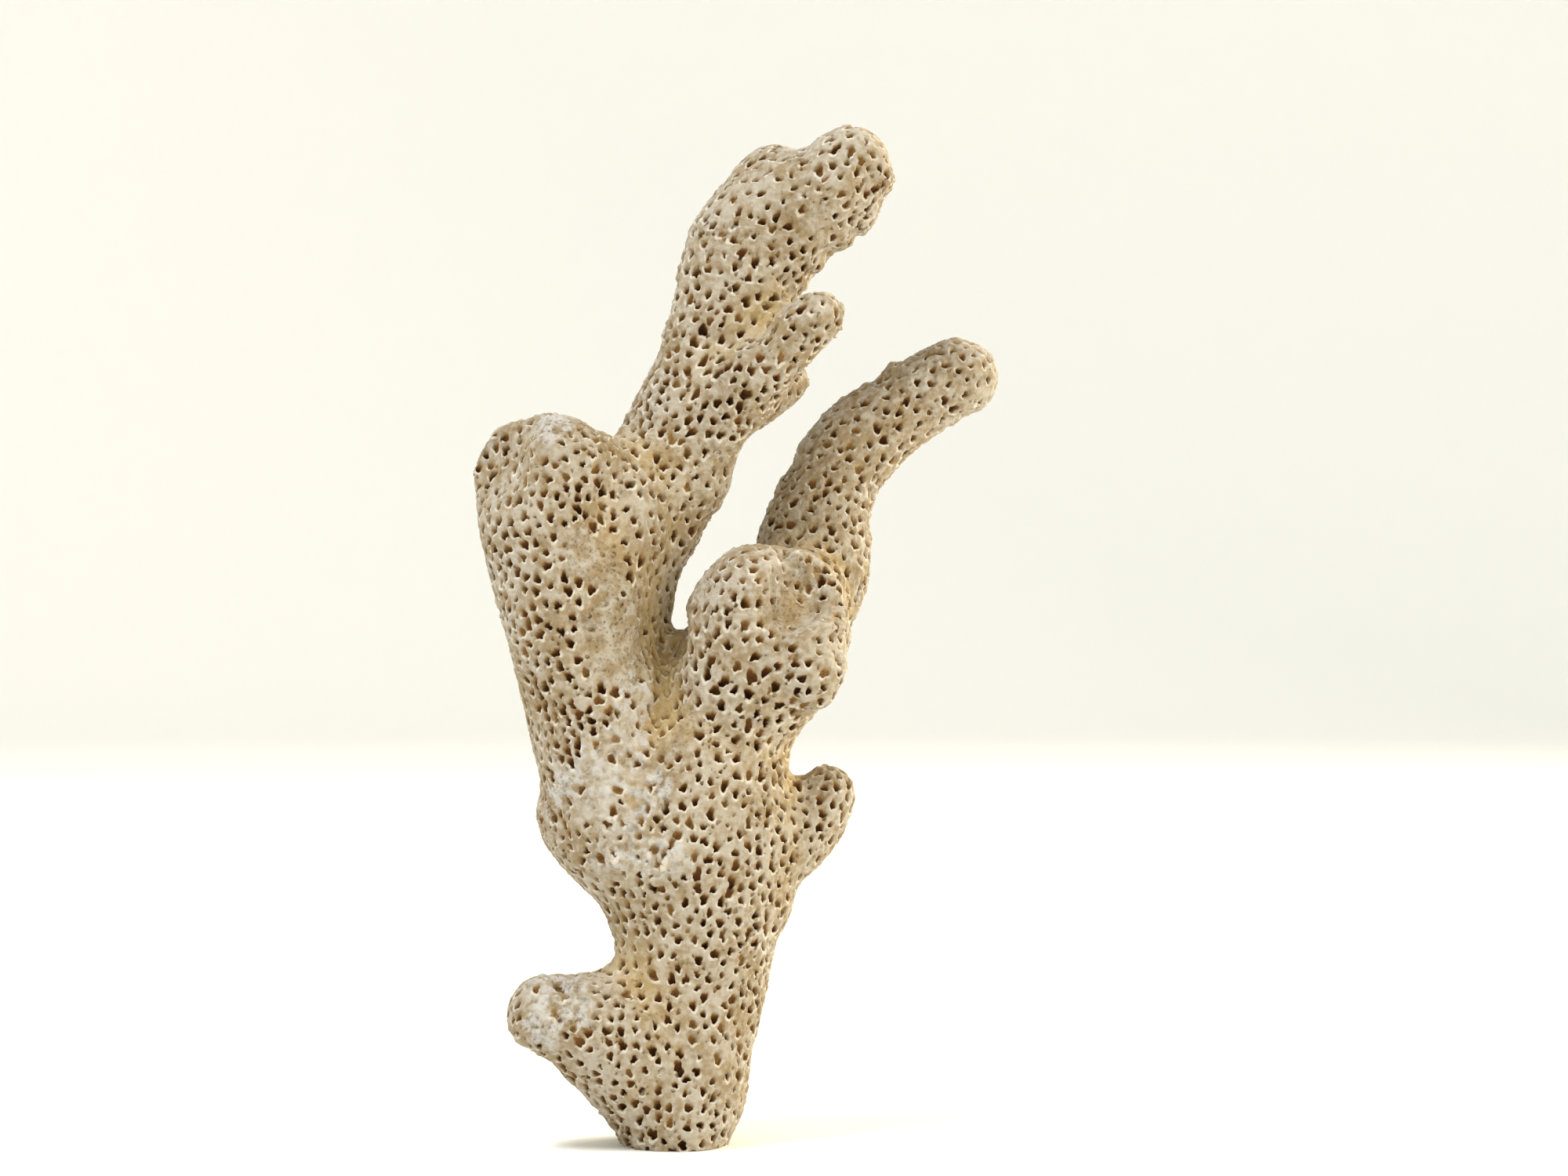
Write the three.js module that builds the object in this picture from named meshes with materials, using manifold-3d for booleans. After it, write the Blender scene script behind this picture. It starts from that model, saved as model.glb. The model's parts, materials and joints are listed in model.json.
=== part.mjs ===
// Staghorn coral fragment, standing on a flat cut foot.
// Millimetres. Origin at the centre of the cut foot, X to the right, Y away from the viewer, Z up.
import * as THREE from 'three';
import { mergeVertices } from 'three/addons/utils/BufferGeometryUtils.js';
import Module from 'manifold-3d';

// ---- driving dimensions (mm) ----
const FORK_GAP = 0.3; // clearance left between neighbouring pieces at a fork
const RING_SIDES = 18; // facets round a branch
const RING_PITCH = 3.2; // spacing of rings along a branch
const CAP_RINGS = 4; // rings on each rounded end
const SIMPLIFY_TOL = 0.03; // smallest detail kept after the cuts

// Branch centre lines. Each station is [x, y, z, half width seen from the front, half depth].
// tip and root give how far the rounded ends reach past the last and first station.
const TRUNK = {
  root: 1.0,
  tip: 5.0,
  stations: [
    [0.0, 0.0, -4.0, 3.6, 4.0],
    [0.0, 0.0, 0.0, 5.4, 6.0],
    [-0.1, 0.0, 2.0, 6.4, 6.9],
    [0.2, 0.0, 5.0, 6.8, 7.2],
    [0.8, 0.0, 9.2, 6.9, 7.3],
    [1.4, 0.0, 13.4, 7.5, 7.4],
    [1.8, 0.0, 17.6, 7.9, 7.5],
    [2.1, 0.0, 21.8, 8.6, 7.8],
    [2.0, 0.0, 26.0, 10.2, 8.4],
    [1.6, 0.0, 30.2, 11.5, 8.9],
    [1.2, 0.0, 34.5, 11.7, 9.2],
    [0.7, 0.0, 38.6, 11.6, 9.0],
    [0.3, 0.0, 41.0, 11.6, 8.6],
  ],
};
const TRUNK_SWELLING = {
  root: 6.0,
  tip: 5.2,
  stations: [
    [-6.0, -0.3, 41.0, 7.6, 8.2],
    [-7.9, -0.4, 36.2, 7.2, 8.0],
    [-5.6, -0.2, 31.4, 6.4, 7.6],
  ],
};
const LEFT_STEM = {
  root: 5.0,
  tip: 5.9,
  stations: [
    [-8.3, -0.9, 40.0, 6.4, 7.4],
    [-9.0, -1.3, 46.9, 7.1, 8.0],
    [-10.1, -1.9, 51.1, 6.9, 7.9],
    [-11.2, -2.4, 55.3, 6.9, 7.8],
    [-12.0, -2.8, 59.5, 7.4, 7.7],
    [-13.0, -2.8, 63.7, 7.5, 7.5],
    [-14.4, -2.6, 67.9, 7.2, 7.0],
    [-15.7, -2.3, 71.6, 5.8, 5.9],
  ],
};
const KNOB_INNER_LOBE = {
  root: 5.0,
  tip: 5.3,
  stations: [
    [-12.7, -3.8, 65.0, 6.4, 6.4],
    [-12.9, -5.0, 72.7, 5.2, 5.4],
  ],
};
const UPPER_BRANCH = {
  root: 4.0,
  tip: 3.0,
  stations: [
    [-5.6, 2.4, 43.0, 5.6, 6.2],
    [-6.0, 2.8, 51.1, 5.3, 6.0],
    [-5.8, 2.9, 55.3, 5.2, 5.9],
    [-5.4, 2.8, 59.5, 5.1, 5.8],
    [-4.2, 2.5, 64.5, 5.5, 5.7],
    [-2.2, 2.1, 69.1, 6.1, 5.8],
    [-0.1, 1.7, 73.8, 6.5, 5.7],
    [1.7, 1.4, 78.8, 6.1, 5.6],
    [2.5, 1.3, 80.9, 6.0, 5.5],
  ],
};
const CROWN = {
  root: 4.0,
  tip: 4.7,
  stations: [
    [1.9, 1.3, 79.0, 5.9, 5.4],
    [4.0, 1.3, 84.7, 5.8, 5.4],
    [5.6, 1.3, 88.9, 5.9, 5.4],
    [6.6, 1.2, 92.6, 6.7, 5.6],
    [8.9, 0.9, 97.1, 7.1, 5.7],
    [13.2, 0.2, 100.0, 6.1, 5.5],
    [18.8, -0.8, 103.9, 5.0, 5.0],
  ],
};
const CROWN_LEFT_LOBE = {
  root: 5.0,
  tip: 6.3,
  stations: [
    [9.0, 1.4, 96.0, 6.8, 5.8],
    [10.6, 2.4, 101.2, 5.7, 5.4],
  ],
};
const CROWN_LOW_LUMP = {
  root: 3.0,
  tip: 4.2,
  stations: [
    [13.6, 0.8, 98.0, 4.3, 4.6],
    [17.7, 0.7, 100.7, 4.3, 4.4],
  ],
};
const FRONT_FINGER = {
  root: 3.0,
  tip: 2.8,
  stations: [
    [3.5, -0.4, 75.9, 3.4, 3.6],
    [5.5, -1.8, 79.4, 3.9, 3.9],
    [8.5, -3.5, 82.4, 3.5, 3.6],
    [11.9, -4.9, 85.3, 2.9, 3.0],
    [15.2, -5.8, 88.2, 2.8, 2.9],
  ],
};
const REAR_NUB = {
  root: 3.0,
  tip: 2.9,
  stations: [
    [5.2, 1.6, 78.6, 4.0, 4.0],
    [8.6, 3.0, 80.5, 3.5, 3.6],
    [11.3, 4.0, 81.8, 2.9, 3.1],
  ],
};
const MIDDLE_STUB = {
  root: 5.0,
  tip: 9.1,
  stations: [
    [2.8, 0.2, 37.0, 5.4, 6.4],
    [5.0, -0.4, 42.7, 6.5, 6.9],
    [6.2, -1.0, 46.9, 7.4, 7.2],
    [8.1, -1.6, 51.1, 8.3, 7.5],
    [9.6, -2.1, 55.3, 8.7, 7.5],
  ],
};
const STUB_RIM_BULGE = {
  root: 3.0,
  tip: 3.6,
  stations: [
    [12.0, -1.8, 53.4, 4.4, 5.0],
    [15.1, -1.8, 54.3, 3.8, 4.6],
  ],
};
const BACK_FINGER = {
  root: 4.0,
  tip: 4.4,
  stations: [
    [9.2, 2.2, 47.4, 4.8, 5.0],
    [13.3, 4.3, 56.1, 5.4, 5.0],
    [14.4, 5.4, 60.3, 6.1, 5.2],
    [14.8, 6.2, 64.5, 6.1, 5.2],
    [15.5, 6.8, 68.7, 5.2, 5.0],
    [17.2, 7.2, 72.3, 4.9, 4.7],
    [19.7, 7.5, 75.5, 4.9, 4.6],
    [22.8, 7.8, 78.1, 4.6, 4.5],
    [26.7, 8.2, 80.5, 4.1, 4.2],
    [30.3, 8.5, 82.4, 4.5, 4.4],
  ],
};
const SIDE_NUB = {
  root: 4.0,
  tip: 3.4,
  stations: [
    [6.5, 0.8, 29.2, 5.0, 5.2],
    [10.7, 1.4, 31.9, 5.1, 5.0],
    [13.7, 1.8, 34.8, 4.3, 4.4],
    [15.9, 2.0, 37.2, 3.4, 3.6],
  ],
};
const LOWER_STUB = {
  root: 5.0,
  tip: 5.0,
  stations: [
    [-0.4, -0.4, 9.2, 6.6, 6.6],
    [-3.0, -1.0, 10.8, 7.5, 6.9],
    [-7.8, -2.5, 12.6, 6.4, 6.4],
    [-12.7, -3.8, 13.9, 4.6, 5.0],
  ],
};
const STUB_UNDERSIDE = {
  root: 4.0,
  tip: 4.0,
  stations: [
    [-10.0, -2.2, 11.6, 4.2, 4.4],
    [-5.5, -1.2, 6.9, 4.2, 5.0],
    [-1.5, -0.4, 2.5, 4.2, 5.0],
  ],
};
// Hollow of the broken end of the middle stub: a shallow dish.
const BREAK_DISH = { centre: [14.5, -13.4, 61.5], radii: [8.0, 8.0, 8.0] };

// ---- geometry ----
const wasm = await Module();
wasm.setup();

function toManifold(geometry) {
  geometry.deleteAttribute('normal');
  geometry.deleteAttribute('uv');
  const welded = mergeVertices(geometry, 1e-4);
  const source = welded.index.array;
  const kept = [];
  for (let i = 0; i < source.length; i += 3) {
    const [a, b, c] = [source[i], source[i + 1], source[i + 2]];
    if (a !== b && b !== c && c !== a) kept.push(a, b, c);
  }
  return new wasm.Manifold(
    new wasm.Mesh({
      numProp: 3,
      vertProperties: new Float32Array(welded.attributes.position.array),
      triVerts: new Uint32Array(kept),
    }),
  );
}

function lerpStation(stations, t) {
  const place = Math.min(Math.max(t, 0), 1) * (stations.length - 1);
  const low = Math.min(Math.floor(place), stations.length - 2);
  const mix = place - low;
  const ease = mix * mix * (3 - 2 * mix);
  return [3, 4].map((k) => stations[low][k] * (1 - ease) + stations[low + 1][k] * ease);
}

// One branch: a capsule bent along the centre line, with an oval cross-section.
function limb(spec, grow = 0) {
  const points = spec.stations.map((s) => new THREE.Vector3(s[0], s[1], s[2]));
  const line = new THREE.CatmullRomCurve3(points, false, 'centripetal');
  const rings = Math.max(2, Math.round(line.getLength() / RING_PITCH));
  const capsule = new THREE.CapsuleGeometry(1, 1, CAP_RINGS, RING_SIDES, rings);
  const position = capsule.attributes.position;
  const depthAxis = new THREE.Vector3();
  const sideAxis = new THREE.Vector3();
  for (let i = 0; i < position.count; i += 1) {
    const along = position.getY(i);
    const t = Math.min(Math.max(along + 0.5, 0), 1);
    const past = along > 0.5 ? along - 0.5 : Math.min(along + 0.5, 0);
    const tangent = line.getTangent(t);
    depthAxis.set(0, 1, 0).addScaledVector(tangent, -tangent.y).normalize();
    sideAxis.crossVectors(tangent, depthAxis);
    const [side, depth] = lerpStation(spec.stations, t);
    const reach = (past > 0 ? spec.tip : spec.root) + grow;
    const point = line.getPoint(t);
    point.addScaledVector(sideAxis, position.getX(i) * (side + grow));
    point.addScaledVector(depthAxis, position.getZ(i) * (depth + grow));
    point.addScaledVector(tangent, past * reach);
    position.setXYZ(i, point.x, point.y, point.z);
  }
  return toManifold(capsule);
}

function joined(specs, grow = 0) {
  return specs.map((spec) => limb(spec, grow)).reduce((all, one) => all.add(one));
}

function largestBody(solid) {
  const bodies = solid.decompose();
  bodies.sort((a, b) => b.volume() - a.volume());
  return bodies[0];
}

function slab(size, centre) {
  const box = new THREE.BoxGeometry(...size);
  box.translate(...centre);
  return toManifold(box);
}

function dish(spec) {
  const ball = new THREE.SphereGeometry(1, 16, 12);
  ball.scale(...spec.radii);
  ball.translate(...spec.centre);
  return toManifold(ball);
}

// A piece is its own limbs less every piece it grows from or leans on, each grown by the gap.
function piece(limbs, neighbours, cutters = []) {
  let solid = joined(limbs);
  for (const neighbour of neighbours) solid = solid.subtract(joined(neighbour, FORK_GAP));
  for (const cutter of cutters) solid = solid.subtract(cutter);
  return largestBody(largestBody(solid).simplify(SIMPLIFY_TOL));
}

const belowFoot = slab([60, 60, 20], [0, 0, -10]);
const trunkLimbs = [TRUNK, TRUNK_SWELLING];
const stemLimbs = [LEFT_STEM, KNOB_INNER_LOBE];
const lowerStubLimbs = [LOWER_STUB, STUB_UNDERSIDE];
const middleStubLimbs = [MIDDLE_STUB, STUB_RIM_BULGE];
const crownLimbs = [CROWN, CROWN_LEFT_LOBE, CROWN_LOW_LUMP];

const pieces = [
  ['trunk', piece(trunkLimbs, [], [belowFoot])],
  ['lower_stub', piece(lowerStubLimbs, [trunkLimbs], [belowFoot])],
  ['side_nub', piece([SIDE_NUB], [trunkLimbs])],
  ['left_stem', piece(stemLimbs, [trunkLimbs])],
  ['middle_stub', piece(middleStubLimbs, [trunkLimbs, stemLimbs, [SIDE_NUB]], [dish(BREAK_DISH)])],
  ['back_finger', piece([BACK_FINGER], [trunkLimbs, middleStubLimbs])],
  ['upper_branch', piece([UPPER_BRANCH], [trunkLimbs, stemLimbs, middleStubLimbs])],
  ['front_finger', piece([FRONT_FINGER], [[UPPER_BRANCH]])],
  ['rear_nub', piece([REAR_NUB], [[UPPER_BRANCH], [FRONT_FINGER]])],
  ['crown', piece(crownLimbs, [[UPPER_BRANCH], [FRONT_FINGER], [REAR_NUB]])],
];

// ---- scene ----
const CORAL_COLOUR = 0xc7b593;

function toMesh(name, solid) {
  const mesh = solid.getMesh();
  const positions = new Float32Array(mesh.numVert * 3);
  for (let i = 0; i < mesh.numVert; i += 1) {
    for (let k = 0; k < 3; k += 1) {
      positions[i * 3 + k] = mesh.vertProperties[i * mesh.numProp + k];
    }
  }
  const geometry = new THREE.BufferGeometry();
  geometry.setAttribute('position', new THREE.BufferAttribute(positions, 3));
  geometry.setIndex(Array.from(mesh.triVerts));
  geometry.computeVertexNormals();
  const material = new THREE.MeshStandardMaterial({ color: CORAL_COLOUR, roughness: 0.9 });
  material.name = 'coral_skeleton';
  const made = new THREE.Mesh(geometry, material);
  made.name = name;
  return made;
}

const group = new THREE.Group();
group.name = 'staghorn_coral';
for (const [name, solid] of pieces) group.add(toMesh(name, solid));

export default group;
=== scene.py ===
"""Staghorn coral: a dry, pitted, branching skeleton on a flat cut foot, with its stage, light and camera."""

from __future__ import annotations

import heapq
import json
import logging
import math
from collections import Counter
from dataclasses import dataclass, field
from enum import Enum

import bmesh
import bpy
import numpy as np
from mathutils import Matrix, Vector
from mathutils.bvhtree import BVHTree
from mathutils.kdtree import KDTree

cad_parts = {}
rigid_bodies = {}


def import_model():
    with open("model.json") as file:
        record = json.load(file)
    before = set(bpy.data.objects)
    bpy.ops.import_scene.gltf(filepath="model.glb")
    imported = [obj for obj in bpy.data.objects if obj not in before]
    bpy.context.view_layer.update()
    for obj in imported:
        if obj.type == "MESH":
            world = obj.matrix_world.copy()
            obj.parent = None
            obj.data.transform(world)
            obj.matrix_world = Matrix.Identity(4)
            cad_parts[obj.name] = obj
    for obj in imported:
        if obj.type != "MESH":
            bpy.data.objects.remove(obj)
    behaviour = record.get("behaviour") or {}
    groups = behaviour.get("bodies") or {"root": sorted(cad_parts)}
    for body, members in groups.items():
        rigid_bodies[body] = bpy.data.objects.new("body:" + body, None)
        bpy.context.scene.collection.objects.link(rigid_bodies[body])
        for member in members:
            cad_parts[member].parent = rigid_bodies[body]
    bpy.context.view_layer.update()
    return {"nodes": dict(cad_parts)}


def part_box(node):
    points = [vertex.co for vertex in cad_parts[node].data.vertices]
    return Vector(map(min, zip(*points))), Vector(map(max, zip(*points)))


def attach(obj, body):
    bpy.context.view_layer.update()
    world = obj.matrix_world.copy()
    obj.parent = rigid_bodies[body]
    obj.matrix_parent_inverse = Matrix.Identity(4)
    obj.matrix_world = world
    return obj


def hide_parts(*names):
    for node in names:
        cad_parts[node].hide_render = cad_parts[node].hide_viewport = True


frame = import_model()

LOG = logging.getLogger("coral")
MM = 0.001

Colour = tuple[float, float, float, float]
Span = tuple[float, float]
Layers = tuple[tuple[float, float, float], tuple[float, float, float]]


# ---------------------------------------------------------------- small tools


def ease(low: float, high: float, value: np.ndarray) -> np.ndarray:
    """Smooth step of an array.

    Args:
        low: value where the step starts.
        high: value where the step ends; it may be below low, which turns the step round.
        value: the numbers to pass through the step.

    Returns:
        Numbers from 0 to 1.
    """
    part = np.clip((value - low) / (high - low), 0.0, 1.0)
    return part * part * (3.0 - 2.0 * part)


def unit(vectors: np.ndarray) -> np.ndarray:
    """Rows of an array scaled to length one."""
    return vectors / np.maximum(np.linalg.norm(vectors, axis=-1, keepdims=True), 1e-9)


def display(red: int, green: int, blue: int) -> Colour:
    """A colour given in 8-bit display values, as linear light.

    Args:
        red: red, 0 to 255.
        green: green, 0 to 255.
        blue: blue, 0 to 255.

    Returns:
        Linear red, green, blue and an alpha of one.
    """
    shares = [value / 255.0 for value in (red, green, blue)]
    light = [s / 12.92 if s <= 0.04045 else ((s + 0.055) / 1.055) ** 2.4 for s in shares]
    return (light[0], light[1], light[2], 1.0)


def corners(node: str) -> tuple[np.ndarray, np.ndarray]:
    """The lowest and highest corner of a branch's solid, in millimetres."""
    low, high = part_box(node)
    return np.array(low) / MM, np.array(high) / MM


@dataclass
class LatticeNoise:
    """Smooth seeded noise that is read for many points at once."""

    seed: int
    size: int = 48
    table: np.ndarray = field(init=False)

    def __post_init__(self) -> None:
        """Draws the lattice values."""
        draw = np.random.default_rng(self.seed)
        self.table = draw.uniform(-1.0, 1.0, (self.size, self.size, self.size))

    def at(self, points: np.ndarray, period: float, shift: float = 0.0) -> np.ndarray:
        """Noise at some points.

        Args:
            points: places, in millimetres.
            period: lattice spacing in millimetres.
            shift: moves the pattern, so that layers of one period differ.

        Returns:
            One number from -1 to 1 for each point.
        """
        place = points / period + shift * 7.31 + 500.0
        cell = np.floor(place).astype(np.int64)
        part = place - cell
        part = part * part * (3.0 - 2.0 * part)
        total = np.zeros(len(points))
        for corner in range(8):
            step = np.array([corner & 1, (corner >> 1) & 1, (corner >> 2) & 1])
            share = np.prod(np.where(step, part, 1.0 - part), axis=1)
            x, y, z = ((cell + step) % self.size).T
            total += share * self.table[x, y, z]
        return total

    def layered(self, points: np.ndarray, period: float, layers: int = 3) -> np.ndarray:
        """Noise summed over layers, each half the period and 0.55 of the height of the one before."""
        return sum(self.at(points, period / 2**k, k + 1.0) * 0.55**k for k in range(layers))

    def ridged(self, points: np.ndarray, period: float, shift: float, sharpness: float) -> np.ndarray:
        """Noise folded into crests.

        Args:
            points: places, in millimetres.
            period: lattice spacing in millimetres.
            shift: moves the pattern.
            sharpness: how fast a crest falls away.

        Returns:
            One for each point on a crest, and less beside it.
        """
        return 1.0 - sharpness * np.abs(self.at(points, period, shift))


@dataclass(frozen=True)
class Patch:
    """A place on the coral that is shaped or weathered in its own way."""

    node: str
    at: tuple[float, float, float]
    reach: tuple[float, float, float]
    amount: float = 1.0
    core: float = 0.25

    def strength(self, points: np.ndarray) -> np.ndarray:
        """How strongly each point feels the patch.

        Args:
            points: places, in millimetres.

        Returns:
            The patch's amount at its middle, falling smoothly to 0 at its reach.
        """
        low, high = corners(self.node)
        centre = low + (high - low) * np.array(self.at)
        away = np.linalg.norm((points - centre) / np.array(self.reach), axis=1)
        return self.amount * ease(1.0, self.core, away)


@dataclass(frozen=True)
class Stroke:
    """A ridge drawn along a branch's front, or a groove where the height is negative."""

    node: str
    path: tuple[tuple[float, float], ...]
    width: float
    height: float
    ends: tuple[float, float] = (1.0, 1.0)
    depth: float = 0.6
    fade: float = 1.5
    full_front: float = -0.5

    def heights(self, skin: Skin) -> np.ndarray:
        """How far the stroke lifts each point.

        Args:
            skin: the fine skin.

        Returns:
            One height in millimetres for each point.
        """
        low, high = corners(self.node)
        size = high - low
        path = low[[0, 2]] + np.array(self.path) * size[[0, 2]]
        flat = skin.points[:, [0, 2]]
        best = np.full(len(flat), np.inf)
        share = np.zeros(len(flat))
        for number, (start, end) in enumerate(zip(path[:-1], path[1:])):
            run = end - start
            along = np.clip((flat - start) @ run / (run @ run), 0.0, 1.0)
            away = np.linalg.norm(flat - start - along[:, None] * run, axis=1)
            share = np.where(away < best, (number + along) / (len(path) - 1), share)
            best = np.minimum(best, away)
        strength = self.ends[0] + (self.ends[1] - self.ends[0]) * share
        shape = np.exp(-((best / self.width) ** 2)) * strength
        front = ease(0.0, self.full_front, skin.normals[:, 1])
        back = low[1] + self.depth * size[1]
        return self.height * shape * front * ease(back + self.fade, back - self.fade, skin.points[:, 1])


@dataclass(frozen=True)
class Facet:
    """A worn flat: what stands a little in front of a plane, and faces it, is pressed back to it."""

    node: str
    at: tuple[float, float, float]
    facing: tuple[float, float, float]
    reach: float
    hardness: float
    turned_away: float = 0.15
    turned_to: float = 0.7
    deepest: float = 2.5
    spared: float = 5.0

    def press(self, skin: Skin) -> None:
        """Presses the skin.

        Args:
            skin: the fine skin.
        """
        low, high = corners(self.node)
        centre = low + (high - low) * np.array(self.at)
        facing = unit(np.array(self.facing))
        offset = skin.points - centre
        proud = offset @ facing
        away = np.linalg.norm(offset - np.outer(proud, facing), axis=1)
        faces_it = ease(self.turned_away, self.turned_to, skin.normals @ facing)
        pressed = np.maximum(proud, 0.0) * ease(self.reach, 0.0, away)
        pressed *= ease(self.spared, self.deepest, proud)
        skin.points -= np.outer(pressed * faces_it * self.hardness, facing)


class Mark(Enum):
    """What the skin has become at a place; each is a number stored on the mesh."""

    # Painted shade down each pore, more on its lower side and towards its floor; below zero, a painted
    # highlight on its lip. It also marks where the pores are.
    PORE = "pore"
    WORN = "worn"
    CRUST = "crust"
    HOLLOW = "hollow"


# ---------------------------------------------------------------- the blank


@dataclass(frozen=True)
class Mass:
    """A rounded lobe, or the web in a fork, that the branches are grown together with."""

    node: str
    at: tuple[float, float, float]
    radii: tuple[float, float, float]
    subdivisions: int = 4

    def add_to(self, work: bmesh.types.BMesh) -> None:
        """Adds the mass to a mesh.

        Args:
            work: the mesh it is added to.
        """
        low, high = (Vector(corner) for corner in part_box(self.node))
        centre = Vector(low[i] + (high[i] - low[i]) * self.at[i] for i in range(3))
        size = Matrix.Diagonal(Vector(self.radii) * MM).to_4x4()
        place = Matrix.Translation(centre) @ size
        bmesh.ops.create_icosphere(work, subdivisions=self.subdivisions, radius=1.0, matrix=place)


@dataclass
class CoralBlank:
    """The whole coral as one smooth skin, made by growing the parted solids together."""

    masses: tuple[Mass, ...] = (
        Mass("left_stem", (0.545, 0.27, 0.845), (5.3, 4.7, 5.5)),
        Mass("left_stem", (0.54, 0.30, 0.70), (4.6, 4.8, 8.0)),
        Mass("left_stem", (0.70, 0.33, 0.48), (4.2, 4.6, 8.5)),
        Mass("upper_branch", (0.24, 0.22, 0.60), (5.5, 6.2, 8.5)),
        Mass("middle_stub", (0.80, 0.22, 0.38), (3.7, 4.6, 3.9)),
        Mass("middle_stub", (0.46, 0.38, 0.745), (5.0, 5.8, 5.9)),
        Mass("middle_stub", (0.85, 0.55, 0.70), (2.2, 3.4, 3.2)),
        Mass("crown", (0.74, 0.22, 0.74), (3.8, 3.4, 2.2)),
        Mass("trunk", (0.22, 0.50, 0.775), (6.7, 7.0, 5.5)),
        Mass("back_finger", (0.86, 0.66, 0.885), (4.3, 4.2, 4.3)),
    )

    merge_gap: float = 1e-7
    floor_gap: float = 1e-6
    overlap: float = 0.25
    foot_reach: float = 2.6
    foot_taper: float = 0.9
    skin_size: float = 1.1
    smoothing: int = 3
    levels: int = 3
    faces_per_piece: int = 1480
    growth_spread: int = 10
    form_spread: int = 30
    hollow_spread: int = 4
    voting_rounds: int = 6
    own_vote: float = 1.5
    trees: dict[str, BVHTree] = field(default_factory=dict)
    labels: list[tuple[str, str]] = field(default_factory=list)

    def grown_part(self, node: bpy.types.Object) -> bmesh.types.BMesh:
        """A merged copy of one solid, grown a little so that it meets its neighbours.

        Args:
            node: the solid.

        Returns:
            The grown copy; the foot's flat face is drawn down so that it can be cut later.
        """
        part = bmesh.new()
        part.from_mesh(node.data)
        bmesh.ops.remove_doubles(part, verts=part.verts, dist=self.merge_gap)
        part.normal_update()
        self.trees[node.name] = BVHTree.FromBMesh(part)
        on_floor = [vert for vert in part.verts if vert.co.z < self.floor_gap]
        for vert in part.verts:
            vert.co += vert.normal * self.overlap * MM
        for vert in on_floor:
            vert.co.x *= self.foot_taper
            vert.co.y *= self.foot_taper
            vert.co.z = -self.foot_reach * MM
        return part

    def joined(self) -> bpy.types.Mesh:
        """Puts the grown solids and the masses in one mesh.

        Returns:
            The mesh, whose parts still overlap.
        """
        mesh = bpy.data.meshes.new("grown_together")
        together = bmesh.new()
        for name in sorted(frame["nodes"]):
            part = self.grown_part(frame["nodes"][name])
            part.to_mesh(mesh)
            together.from_mesh(mesh)
            part.free()
        for mass in self.masses:
            mass.add_to(together)
        together.to_mesh(mesh)
        together.free()
        return mesh

    def skinned(self, mesh: bpy.types.Mesh) -> bmesh.types.BMesh:
        """One even quad skin over the joined solids.

        Args:
            mesh: the overlapping solids.

        Returns:
            The outer skin alone.
        """
        holder = bpy.data.objects.new("coral_blank", mesh)
        bpy.context.scene.collection.objects.link(holder)
        remesh = holder.modifiers.new("skin", "REMESH")
        remesh.mode = "VOXEL"
        remesh.voxel_size = self.skin_size * MM
        skin = bmesh.new()
        skin.from_object(holder, bpy.context.evaluated_depsgraph_get())
        bpy.data.objects.remove(holder)
        islands = find_islands(skin)
        inner = [vert for island in islands[1:] for vert in island]
        bmesh.ops.delete(skin, geom=inner, context="VERTS")
        return skin

    def soften(self, skin: bmesh.types.BMesh) -> None:
        """Blends the forks into each other.

        Args:
            skin: the quad skin.
        """
        for _ in range(self.smoothing):
            bmesh.ops.smooth_vert(
                skin, verts=skin.verts, factor=0.5, use_axis_x=True, use_axis_y=True, use_axis_z=True
            )
        skin.normal_update()

    def mark_growth(self, skin: bmesh.types.BMesh) -> None:
        """Stores which way the coral grew: away from the foot, along the skin.

        Args:
            skin: the quad skin.
        """
        skin.verts.ensure_lookup_table()
        along = [math.inf] * len(skin.verts)
        queue = [(0.0, vert.index) for vert in skin.verts if vert.co.z < 0.0]
        for start, index in queue:
            along[index] = start
        heapq.heapify(queue)
        while queue:
            length, index = heapq.heappop(queue)
            if length > along[index]:
                continue
            for edge in skin.verts[index].link_edges:
                other = edge.other_vert(skin.verts[index])
                reached = length + edge.calc_length()
                if reached < along[other.index]:
                    along[other.index] = reached
                    heapq.heappush(queue, (reached, other.index))
        ends = np.array([[edge.verts[0].index, edge.verts[1].index] for edge in skin.edges])
        places = np.array([vert.co for vert in skin.verts])
        lengths = spread_values(np.array(along), ends, self.growth_spread)
        run = places[ends[:, 1]] - places[ends[:, 0]]
        rise = (lengths[ends[:, 1]] - lengths[ends[:, 0]]) / np.maximum((run**2).sum(axis=1), 1e-12)
        growth = np.zeros_like(places)
        for end in (0, 1):
            np.add.at(growth, ends[:, end], run * rise[:, None])
        growth = unit(spread_values(unit(growth), ends, self.growth_spread))
        layer = skin.verts.layers.float_vector.new("growth")
        for vert, way in zip(skin.verts, growth):
            vert[layer] = Vector(way)

    def mark_hollows(self, skin: bmesh.types.BMesh) -> None:
        """Stores how far each place lies in a hollow of the overall form.

        Args:
            skin: the quad skin.
        """
        ends = np.array([[edge.verts[0].index, edge.verts[1].index] for edge in skin.edges])
        places = np.array([vert.co for vert in skin.verts])
        normals = np.array([vert.normal for vert in skin.verts])
        evened = spread_values(places, ends, self.form_spread)
        depth = ((evened - places) * normals).sum(axis=1) / MM
        layer = skin.verts.layers.float.new(Mark.HOLLOW.value)
        for vert, value in zip(skin.verts, spread_values(depth, ends, self.hollow_spread)):
            vert[layer] = float(value)

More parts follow.
